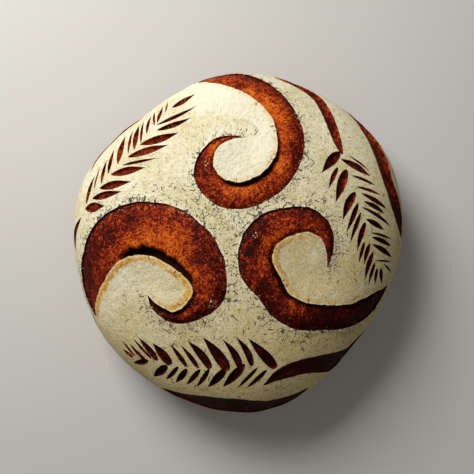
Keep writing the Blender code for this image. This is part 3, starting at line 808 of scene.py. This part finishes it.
def flour_colour(n, at, colours, patch, mottle, grain, on_flap):
    """Flour of uneven thickness, with a gritty crust showing through it."""
    blotch = n.step(n.noise(at.flat, 0.45, 4.0, 0.7), 0.45, 0.72, 0.0, 0.45)
    # Painted shade: the flour is drawn thinner and browner towards the side away from the window light. The
    # flaps keep thicker, whiter flour: real, and more so on the lit side as painted light
    thin = n.total(n.product(at.shaded_side, 0.65), n.step(patch, 0.35, 0.7, 0.0, 0.35),
                   n.step(mottle, 0.42, 0.75, 0.0, 0.35), blotch)
    thick = n.product(on_flap, n.step(at.shaded_side, 0.5, 0.0, 0.05, 0.35))
    thin = n.math("SUBTRACT", thin, thick, clamp=True)
    shade = n.mix(thin, colours.flour, colours.thin_flour)
    sand = n.noise(at.flat, 0.6, 3.0, 0.8)
    gritty = n.largest(n.step(grain, 0.50, 0.64), n.step(sand, 0.53, 0.66))
    gritty = n.product(gritty, n.step(thin, 0.0, 0.6, 0.22, 0.85))
    shade = n.mix(gritty, shade, n.mix(0.5, colours.thin_flour, colours.crack))
    return n.mix(n.step(grain, 0.48, 0.3, 0.0, 0.6), shade, colours.flour)


def lip_colour(n, at, colours, shade, gold, mottle, inside):
    """The crust's colour with a golden, crimped band along each flap, a painted highlight along its lip and
    a toasted seam.
    """
    rough = n.noise(at.stretched(0.40, 0.3), 1.0, 4.0, 0.7)
    crimp = n.noise(at.stretched(0.85, 0.12), 1.0, 2.0, 0.6)
    ragged = n.total(at.outside, n.swing(rough, 0.5, 7.0))
    golden = n.step(n.math("DIVIDE", ragged, n.total(n.product(gold, 3.5), 3.0)), 1.0, 0.1)
    golden = n.product(golden, n.step(mottle, 0.34, 0.56, 0.35, 1.0), gold, inside)
    golden = n.product(golden, n.step(crimp, 0.36, 0.56, 0.7, 1.4), clamp=True)
    toasted = n.product(n.step(golden, 0.2, 0.7), n.step(n.noise(at.flat, 0.5, 4.0, 0.75), 0.46, 0.62),
                        n.step(at.outside, 0.8, 1.8))
    # Painted highlight: a pale line of flour colour along each flap's lip
    painted_lip_highlight = n.product(n.step(at.outside, 1.3, 0.5), inside, n.step(rough, 0.62, 0.42))
    seam = n.product(n.step(n.math("ABSOLUTE", n.math("SUBTRACT", ragged, 3.4)), 1.1, 0.2), inside,
                     n.step(gold, 0.3, 0.9, 0.0, 0.9), n.step(n.noise(at.flat, 0.10, 2.0), 0.44, 0.56))
    for amount, tint in ((golden, colours.gold),
                         (n.product(toasted, 0.7), n.mix(0.35, colours.brown, colours.gold)),
                         (n.product(painted_lip_highlight, 0.7), colours.flour),
                         (n.product(seam, 0.75), n.mix(0.25, colours.brown, colours.gold))):
        shade = n.mix(amount, shade, tint)
    return shade


def flour_cracks(n, at, wear, ticks):
    """Specks, strokes, a web of cracks and ticks across the cuts' far edges, from 0 to 1."""
    size = n.product(wear, n.step(n.noise(at.flat, 0.4, 2.0), 0.48, 0.66, 0.0, 0.5))
    specks = n.step(n.voronoi(at.flat, 0.55)["Distance"], size, n.product(size, 0.6))
    long_ones = strokes(n, at.flat, 0.25, 0.5, 0.09, n.product(wear, 0.42))
    short_ones = strokes(n, at.flat, 0.55, 0.42, 0.15, n.product(wear, 0.34))
    shifted = n.vector("ADD", at.flat, n.scaled(n.noise(at.flat, 0.35, out="Color"), 5.0))
    web = n.step(n.voronoi(shifted, 0.26, "DISTANCE_TO_EDGE")["Distance"], 0.055, 0.025)
    web = n.product(web, n.step(n.noise(at.flat, 0.16, 2.0), n.step(wear, 0.0, 1.0, 0.70, 0.42),
                                n.step(wear, 0.0, 1.0, 0.78, 0.50)))
    reach = n.step(n.total(at.outside, n.product(n.noise(at.flat, 0.25, 1.0), 10.0)), 7.6, 6.4)
    return n.largest(specks, web, long_ones, short_ones, n.product(ticks, reach))


def crust_material(colours):
    """Flour over crust: cracks and specks through it, golden lips, bare brown crust down the belly."""
    n = Nodes("floured_crust")
    at = Surface(n)
    gold = n.attribute("gold")
    patch = n.noise(at.flat, 0.035, 3.0, 0.55)
    mottle = n.noise(at.flat, 0.22, 4.0, 0.6)
    grain = n.noise(at.flat, 1.1, 4.0, 0.75)
    open_side = n.step(at.apart, 0.0, 1.0)
    inside = n.math("SUBTRACT", 1.0, open_side)
    on_flap = n.product(n.step(at.outside, 34.0, 12.0), inside)
    wear = flour_wear(n, at, mottle, open_side, on_flap)

    shade = flour_colour(n, at, colours, patch, mottle, grain, on_flap)
    # Painted highlight: a pale line of flour colour along the cuts' far edges
    painted_edge_highlight = n.product(n.step(at.outside, 1.6, 0.5, 0.0, 0.7), open_side, n.step(patch, 0.35, 0.6))
    shade = n.mix(painted_edge_highlight, shade, colours.flour)
    shade = lip_colour(n, at, colours, shade, gold, mottle, inside)
    bare = n.step(n.total(n.length(at.flat), n.product(mottle, 40.0)), 155.0, 190.0)
    shade = n.mix(bare, shade, colours.belly)

    ticks = n.step(n.noise(at.stretched(0.6, 0.1), 1.0, 1.0, 0.6), 0.60, 0.66)
    on_lips = n.product(ticks, inside, n.step(at.outside, 3.6, 1.6), n.step(gold, 0.0, 0.4, 0.0, 0.8))
    cracks = n.largest(flour_cracks(n, at, wear, n.product(ticks, open_side)), on_lips)
    shade = n.mix(n.product(cracks, 0.92), shade, colours.crack)

    bumps = n.bump(grain, 0.0013, 0.9)
    bumps = n.bump(mottle, 0.0018, 0.6, bumps)
    bumps = n.bump(n.math("SUBTRACT", 1.0, cracks), 0.0008, 0.9, bumps)
    return n.finished(Base_Color=shade, Roughness=0.95, Specular_IOR_Level=0.15, Normal=bumps)


def floor_browning_and_shade(n, at, in_spiral, mottle, fine):
    """How dark a cut's floor is, partly baking, partly painted shade: glowing amber below 0, nearly black
    above 1.5.
    """
    in_spirals = n.total(n.step(at.share, 0.1, 1.0, -0.2, 0.5), n.attribute("browning_and_shade"))
    # Slashes and leaves have a dark floor, drawn darker as painted shade on the side away from the window
    # light
    browning_and_shade = n.between(in_spiral, n.total(at.shaded_side, 1.05), in_spirals)
    browning_and_shade = n.total(browning_and_shade, n.attribute("baked"))
    cloud = n.noise(at.flat, 0.09, 3.0, 0.6)
    streak = n.noise(at.stretched(0.9, 0.35), 1.0, 3.0, 0.7)
    for cause, amount in ((cloud, 2.0), (mottle, 2.0), (fine, 1.0), (streak, 1.6)):
        browning_and_shade = n.total(browning_and_shade, n.swing(cause, 0.5, amount))
    for place, scale, amount in ((at.flat, 0.42, 0.6), (at.stretched(0.6, 0.4), 0.7, 0.45)):
        strands = n.math("ABSOLUTE", n.math("SUBTRACT", n.noise(place, scale, 1.0, 0.5, 1.0), 0.5))
        browning_and_shade = n.total(browning_and_shade, n.step(strands, 0.0, 0.09, -amount, 0.5 * amount))
    return browning_and_shade


def bloom_material(colours):
    """The baked floor of the cuts: amber near a lip, darker outwards, blistered, with painted shade in the
    depths and painted glints.
    """
    n = Nodes("browned_bloom")
    at = Surface(n)
    mottle = n.noise(at.flat, 0.34, 4.0, 0.65, 0.6)
    fine = n.noise(at.flat, 0.95, 4.0, 0.8)
    in_spiral = n.step(at.outside, 1.2, 0.2)

    browning_and_shade = floor_browning_and_shade(n, at, in_spiral, mottle, fine)
    shade = colours.glow
    for low, high, most, tint in ((-0.7, 0.05, 1.0, colours.amber), (0.05, 0.65, 1.0, colours.brown),
                                  (0.6, 1.25, 1.0, colours.dark), (1.2, 2.0, 0.8, colours.char)):
        shade = n.mix(n.step(browning_and_shade, low, high, 0.0, most), shade, tint)

    edge_burn = n.product(n.step(n.total(at.share, n.product(mottle, 0.08)), 0.93, 1.02), in_spiral,
                          n.step(n.noise(at.flat, 0.06), 0.38, 0.55))
    # Pale specks near the cuts' edges: partly flour dust, partly painted glints
    near_edges = n.largest(n.step(at.share, 0.84, 0.97), n.step(at.apart, 3.0, 1.0))
    dust_and_glints = n.product(n.step(n.voronoi(at.flat, 0.7)["Distance"], 0.2, 0.1), near_edges, in_spiral,
                     n.step(n.noise(at.flat, 0.3, 2.0), 0.52, 0.62))
    # Painted highlight: pale glints on the floors near the places in GLINTS
    glint = n.product(n.step(n.noise(at.flat, 0.8, 1.0), 0.60, 0.68),
                      n.step(n.attribute("glints"), 0.2, 0.8), in_spiral)
    # Painted shade: the floor is drawn near black with depth below the skin, in the crevices under the lips
    # and deep in the slashes and leaves
    painted_depth_shade = n.step(at.height, -1.3, n.step(in_spiral, 0.0, 1.0, -3.4, -2.8))
    wall = n.product(n.step(at.height, 1.6, 2.4), n.step(at.apart, 1.2, 0.6))
    for amount, tint in ((n.product(edge_burn, 0.85), colours.dark), (n.product(dust_and_glints, 0.8), colours.flour),
                         (glint, colours.thin_flour), (n.product(painted_depth_shade, 0.97), colours.char),
                         (wall, colours.gold)):
        shade = n.mix(amount, shade, tint)

    blisters = n.voronoi(at.flat, 0.62, "SMOOTH_F1", "3D")["Distance"]
    bumps = None
    for height, distance, strength in ((blisters, 0.0008, 0.5), (mottle, 0.0010, 0.5), (fine, 0.0005, 0.6)):
        bumps = n.bump(height, distance, strength, bumps)
    return n.finished(Base_Color=shade, Roughness=n.step(fine, 0.3, 0.7, 0.5, 0.75),
                      Specular_IOR_Level=0.04, Normal=bumps)


def dome(skin, lift_map):
    """The loaf before it is cut."""
    bm = bmesh.new()
    bmesh.ops.create_icosphere(bm, subdivisions=7, radius=1.0)
    directions = np.array([vert.co.normalized() for vert in bm.verts])
    for vert, place in zip(bm.verts, place_on_solid(skin, directions, lift_map)):
        vert.co = Vector(place) * MM
    return bm


def carve(context, loaf, cutters):
    """Takes the cutters out of the loaf, gives it their materials there, and removes them."""
    cuts = bpy.data.collections.new("cuts")
    context.scene.collection.children.link(cuts)
    for cutter in cutters:
        context.scene.collection.objects.unlink(cutter)
        cuts.objects.link(cutter)
    boolean = loaf.modifiers.new("cuts", "BOOLEAN")
    boolean.operand_type = "COLLECTION"
    boolean.collection = cuts
    boolean.operation = "DIFFERENCE"
    boolean.solver = "MANIFOLD"
    boolean.material_mode = "TRANSFER"
    context.view_layer.update()
    mesh = bpy.data.meshes.new_from_object(loaf.evaluated_get(context.evaluated_depsgraph_get()))
    loaf.modifiers.clear()
    loaf.data = mesh
    for cutter in cutters:
        bpy.data.objects.remove(cutter, do_unlink=True)
    bpy.data.collections.remove(cuts)


class LOAF_OT_crust(bpy.types.Operator):
    """Model the loaf: the dome, its spiral cuts, slashes and ears of wheat"""

    bl_idname = "loaf.crust"
    bl_label = "Loaf with its cuts"

    def execute(self, context):
        shape, cuts, colours = settings()
        skin = Skin(shape)
        spirals = [SpiralCut(name, MARK_SPACING) for name in SPIRALS]
        crust, bloom = crust_material(colours), bloom_material(colours)
        loaf = new_object("loaf_crust", dome(skin, LiftMap(spirals, cuts)), crust)
        loaf.data.materials.append(bloom)

        cutters = [spiral_cutter(skin, name, cuts, bloom) for name in SPIRALS]
        cutters += [slash_cutter(skin, name, cuts, bloom) for name in SLASHES]
        for name in EARS:
            cutters += row_cutters(skin, name, cuts, bloom)
        carve(context, loaf, cutters)

        mark_surface(loaf.data, skin, spirals)
        loaf.data.shade_smooth()
        loaf.data.set_sharp_from_angle(angle=math.radians(SMOOTH_ANGLE))
        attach(loaf, "root")
        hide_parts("loaf")
        return {"FINISHED"}


class LOAF_OT_stage(bpy.types.Operator):
    """Lay out the plain floor, the soft lights and the camera above the loaf"""

    bl_idname = "loaf.stage"
    bl_label = "Floor, lights and camera"

    def execute(self, context):
        colours = settings()[2]
        bm = bmesh.new()
        bmesh.ops.create_grid(bm, x_segments=1, y_segments=1, size=FLOOR_SIZE)
        finish = Nodes("plain_floor").finished(Base_Color=(*colours.floor, 1.0), Roughness=0.8)
        new_object("floor", bm, finish)

        for name, place, width, power, tint in LIGHTS:
            lamp = bpy.data.lights.new(name, "AREA")
            lamp.size, lamp.energy, lamp.color = width, power, tint
            holder = bpy.data.objects.new(name, lamp)
            holder.location = place
            aim = Vector(LIGHT_TARGET) - Vector(place)
            holder.rotation_euler = aim.to_track_quat("-Z", "Y").to_euler()
            context.scene.collection.objects.link(holder)

        world = bpy.data.worlds.new("studio")
        world.use_nodes = True
        sky = world.node_tree.nodes["Background"]
        sky.inputs["Color"].default_value = SKY_TINT
        sky.inputs["Strength"].default_value = SKY_STRENGTH
        context.scene.world = world
        context.scene.view_settings.view_transform = "Standard"

        tilt = math.radians(CAMERA_TILT)
        camera = bpy.data.objects.new("camera", bpy.data.cameras.new("camera"))
        camera.data.lens = CAMERA_LENS
        camera.data.sensor_width = CAMERA_SENSOR
        camera.data.clip_start = CAMERA_CLIP
        back = Vector((0, -math.sin(tilt), math.cos(tilt)))
        camera.location = Vector(CAMERA_TARGET) + back * CAMERA_DISTANCE
        camera.rotation_euler = (tilt, 0.0, 0.0)
        context.scene.collection.objects.link(camera)
        context.scene.camera = camera
        return {"FINISHED"}


class LOAF_PT_panel(bpy.types.Panel):
    """The steps that make the loaf, in order"""

    bl_label = "Sourdough loaf"
    bl_idname = "LOAF_PT_panel"
    bl_space_type = "VIEW_3D"
    bl_region_type = "UI"
    bl_category = "Loaf"

    def draw(self, context):
        for step in STEPS:
            self.layout.operator(step.bl_idname)
        for group in (context.scene.loaf_shape, context.scene.loaf_cuts, context.scene.loaf_colours):
            box = self.layout.box()
            for key in group.bl_rna.properties.keys():
                if key not in ("rna_type", "name"):
                    box.prop(group, key)


STEPS = (LOAF_OT_stage, LOAF_OT_crust)
CLASSES = (LoafShape, CutShape, CrustColours, *STEPS, LOAF_PT_panel)


def register():
    for item in CLASSES:
        bpy.utils.register_class(item)
    bpy.types.Scene.loaf_shape = PointerProperty(type=LoafShape)
    bpy.types.Scene.loaf_cuts = PointerProperty(type=CutShape)
    bpy.types.Scene.loaf_colours = PointerProperty(type=CrustColours)


def unregister():
    for key in ("loaf_shape", "loaf_cuts", "loaf_colours"):
        delattr(bpy.types.Scene, key)
    for item in reversed(CLASSES):
        bpy.utils.unregister_class(item)


def main():
    register()
    bpy.ops.loaf.stage()
    bpy.ops.loaf.crust()


if __name__ == "__main__":
    main()
